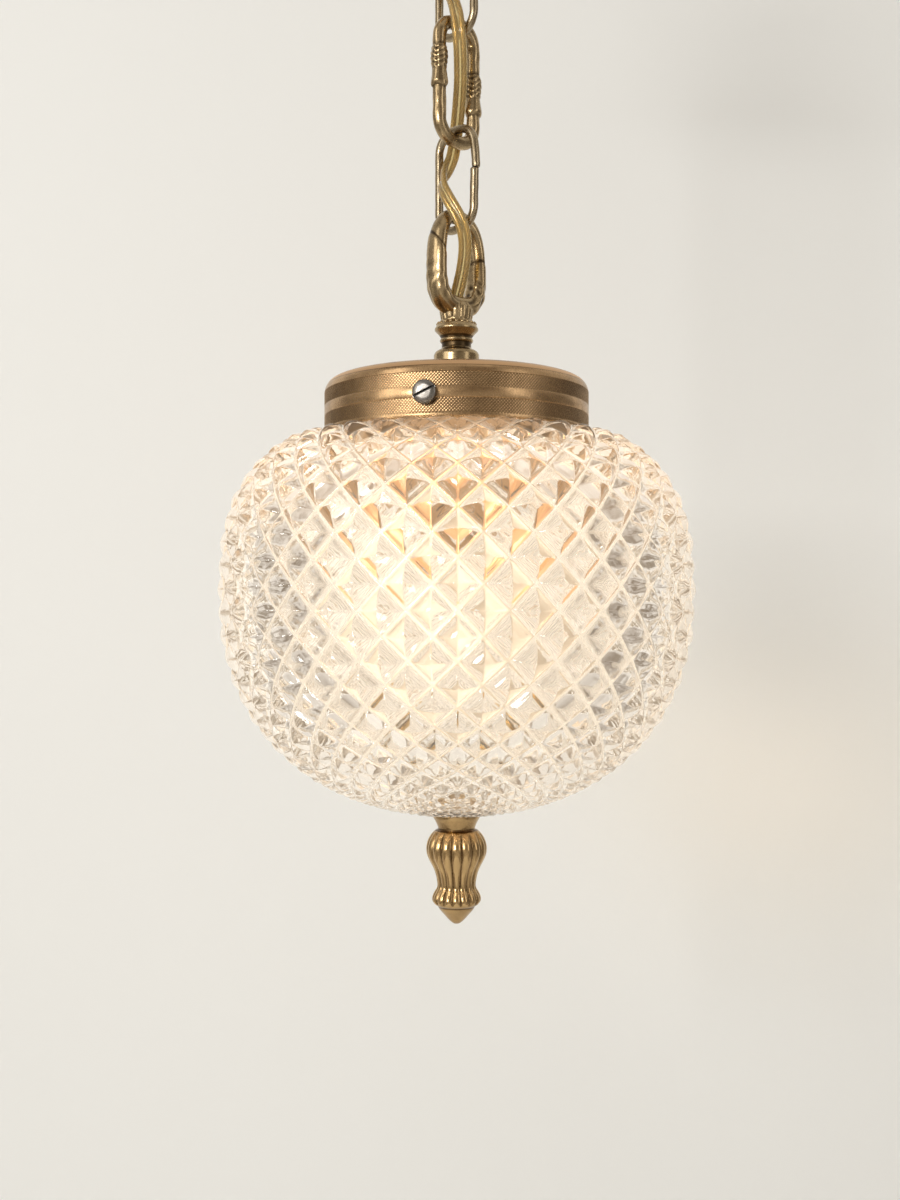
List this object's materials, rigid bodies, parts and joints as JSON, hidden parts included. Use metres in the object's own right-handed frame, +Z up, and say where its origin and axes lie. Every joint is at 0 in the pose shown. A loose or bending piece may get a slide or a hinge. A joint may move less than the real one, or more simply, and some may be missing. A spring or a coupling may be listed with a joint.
{
  "type": "pendant ceiling light",
  "caption": "Pendant ceiling light: pressed diamond-point glass globe in a knurled brass gallery, on a chain of cast and wire links with a flat twin flex woven through it.",
  "frame": {"origin": "on the ceiling, midway between the two fixing holes of the bracket, on the axis that the lamp hangs on", "axes": "+Z up into the ceiling, the lamp hangs down -Z; -Y is the front, where the first clamp screw is; +X is to the right seen from the front"},
  "size_m": [0.1886, 0.1886, 0.5035],
  "materials": {
    "antique_brass": "aged brass, brushed, brown in the hollows",
    "cast_brass": "cast brass, dark antique finish rubbed bright on its high places",
    "bright_brass": "plain turned brass",
    "steel": "zinc plated steel",
    "glass": "clear pressed glass, bright",
    "flex_cover": "clear gold PVC over copper strands",
    "core_cover": "thin PVC core",
    "terminal_plastic": "white moulded plastic",
    "porcelain": "glazed porcelain",
    "bulb_glass": "frosted glass, lit warm white",
    "black_glass": "black vitrite glass",
    "solder": "soft solder, dull",
    "rubber": "soft black rubber"
  },
  "bodies": {
    "ceiling": {"ceiling_bracket": "steel", "ceiling_rose": "antique_brass", "rose_stem": "bright_brass", "stem_nuts": "bright_brass", "rose_washer": "steel", "rose_loop": "cast_brass", "terminal_block": "terminal_plastic", "terminal_screws": "bright_brass", "block_screw": "steel", "rose_cores": "core_cover", "flex_rose": "flex_cover"},
    "cast_link_1": {"cast_link_upper": "cast_brass", "flex_cast_upper": "flex_cover"},
    "wire_link_1": {"wire_link_upper": "antique_brass", "flex_wire_upper": "flex_cover"},
    "cast_link_2": {"cast_link_lower": "cast_brass", "flex_cast_lower": "flex_cover"},
    "wire_link_2": {"wire_link_lower": "antique_brass", "flex_wire_lower": "flex_cover"},
    "lamp": {"lamp_loop": "cast_brass", "flex_lamp": "flex_cover", "lamp_stem": "bright_brass", "gallery": "antique_brass", "gallery_washer": "steel", "gallery_nut": "bright_brass", "glass_globe": "glass", "holder_cap": "antique_brass", "holder_shell": "antique_brass", "holder_core": "porcelain", "holder_thread": "bright_brass", "centre_contact": "bright_brass", "side_contact": "bright_brass", "holder_screws": "bright_brass", "core_wires": "core_cover", "finial": "cast_brass", "finial_stud": "bright_brass", "outer_pad": "rubber", "inner_pad": "rubber", "inner_dish": "bright_brass", "stud_nut": "bright_brass"},
    "screw_1": {"clamp_screw_1": "steel"},
    "screw_2": {"clamp_screw_2": "steel"},
    "screw_3": {"clamp_screw_3": "steel"},
    "bulb": {"bulb_glass": "bulb_glass", "bulb_cap": "bright_brass", "bulb_insulator": "black_glass", "bulb_contact": "solder", "bulb_mount": "bulb_glass"}
  },
  "joints": [
    {"name": "upper_cast_link_swing", "type": "hinge", "parent": "ceiling", "child": "cast_link_1", "pos_m": [0, 0, -0.0695], "axis": [0.7071, -0.7071, 0], "range_deg": [-18, 18], "deforming": ["flex_rose"]},
    {"name": "upper_wire_link_swing", "type": "hinge", "parent": "cast_link_1", "child": "wire_link_1", "pos_m": [0, 0, -0.1117], "axis": [0.7071, 0.7071, 0], "range_deg": [-18, 18], "deforming": ["flex_cast_upper"]},
    {"name": "lower_cast_link_swing", "type": "hinge", "parent": "wire_link_1", "child": "cast_link_2", "pos_m": [0, 0, -0.1472], "axis": [0.7071, -0.7071, 0], "range_deg": [-18, 18], "deforming": ["flex_wire_upper"]},
    {"name": "lower_wire_link_swing", "type": "hinge", "parent": "cast_link_2", "child": "wire_link_2", "pos_m": [0, 0, -0.1902], "axis": [0.7071, 0.7071, 0], "range_deg": [-18, 18], "deforming": ["flex_cast_lower"]},
    {"name": "lamp_swing", "type": "hinge", "parent": "wire_link_2", "child": "lamp", "pos_m": [0, 0, -0.2257], "axis": [0.7071, -0.7071, 0], "range_deg": [-18, 18], "deforming": ["flex_wire_lower", "flex_lamp"]},
    {"name": "clamp_screw_1_out", "type": "slide", "parent": "lamp", "child": "screw_1", "axis": [-0.2198, -0.9755, 0], "range_m": [0, 0.003]},
    {"name": "clamp_screw_2_out", "type": "slide", "parent": "lamp", "child": "screw_2", "axis": [0.9548, 0.2974, 0], "range_m": [0, 0.003]},
    {"name": "clamp_screw_3_out", "type": "slide", "parent": "lamp", "child": "screw_3", "axis": [-0.7349, 0.6782, 0], "range_m": [0, 0.003]},
    {"name": "bulb_turn", "type": "hinge", "parent": "lamp", "child": "bulb", "pos_m": [0, 0, -0.3329], "axis": [0, 0, 1], "range_deg": [-360, 0]}
  ]
}
